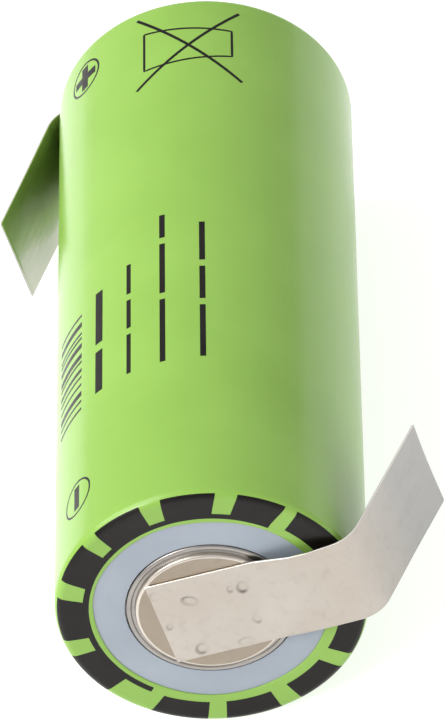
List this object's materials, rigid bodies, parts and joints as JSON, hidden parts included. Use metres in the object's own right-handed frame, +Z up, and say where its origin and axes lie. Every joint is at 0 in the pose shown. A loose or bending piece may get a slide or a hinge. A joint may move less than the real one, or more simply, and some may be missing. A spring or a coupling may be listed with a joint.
{
  "type": "cylindrical battery cell",
  "caption": "Cylindrical lithium cell in a green shrunk sleeve, with a flat solder tab welded to each end and bent back past the rim.",
  "frame": {"origin": "on the surface the cell lies on, under the middle of the whole part, tabs included; the cell's own axis is 0.53 mm to -X of it, because the tabs reach unequally", "axes": "+Y along the cell from the negative to the positive end, +X the way the negative tab points, +Z up"},
  "size_m": [0.0374, 0.0664, 0.0262],
  "materials": {
    "green_film": "light green heat-shrunk film, satin gloss, printed black castellated band round the negative rim",
    "nickel": "bare nickel sheet, satin, warm grey",
    "aluminium": "drawn",
    "pale_ring": "pale blue-grey insulating washer, satin",
    "copper": "bare copper",
    "steel": "stainless",
    "polymer": "natural polymer",
    "amber_tape": "polyimide tape",
    "graphite": "coated copper foil",
    "cathode": "coated aluminium foil",
    "separator": "microporous film"
  },
  "bodies": {
    "cell": {"outer_sleeve": "green_film", "can": "aluminium", "lid": "aluminium", "insulating_ring": "pale_ring", "negative_terminal_cap": "nickel", "outer_gasket": "polymer", "terminal_rivet": "copper", "fill_plug": "steel", "inner_gasket": "polymer", "inner_terminal_plate": "copper", "positive_contact_plate": "nickel", "negative_end_insulator": "polymer", "positive_end_insulator": "polymer", "mandrel_tube": "steel", "winding_tape": "amber_tape", "separator_inner": "separator", "anode_sheet": "graphite", "separator_outer": "separator", "cathode_sheet": "cathode", "negative_lead_1": "copper", "negative_lead_2": "copper", "positive_lead_1": "aluminium", "positive_lead_2": "aluminium", "negative_tab_foot": "nickel", "positive_tab_foot": "nickel"},
    "negative_leaf": {"negative_tab_leaf": "nickel"},
    "positive_leaf": {"positive_tab_leaf": "nickel"}
  },
  "joints": [
    {"name": "negative_tab_bend", "type": "hinge", "parent": "cell", "child": "negative_leaf", "pos_m": [0.01258, -0.03273, 0.01308], "axis": [0, 0, 1], "range_deg": [-64.5, 12]},
    {"name": "positive_tab_bend", "type": "hinge", "parent": "cell", "child": "positive_leaf", "pos_m": [-0.01331, 0.03267, 0.01222], "axis": [0, 0, 1], "range_deg": [-70, 12]}
  ]
}
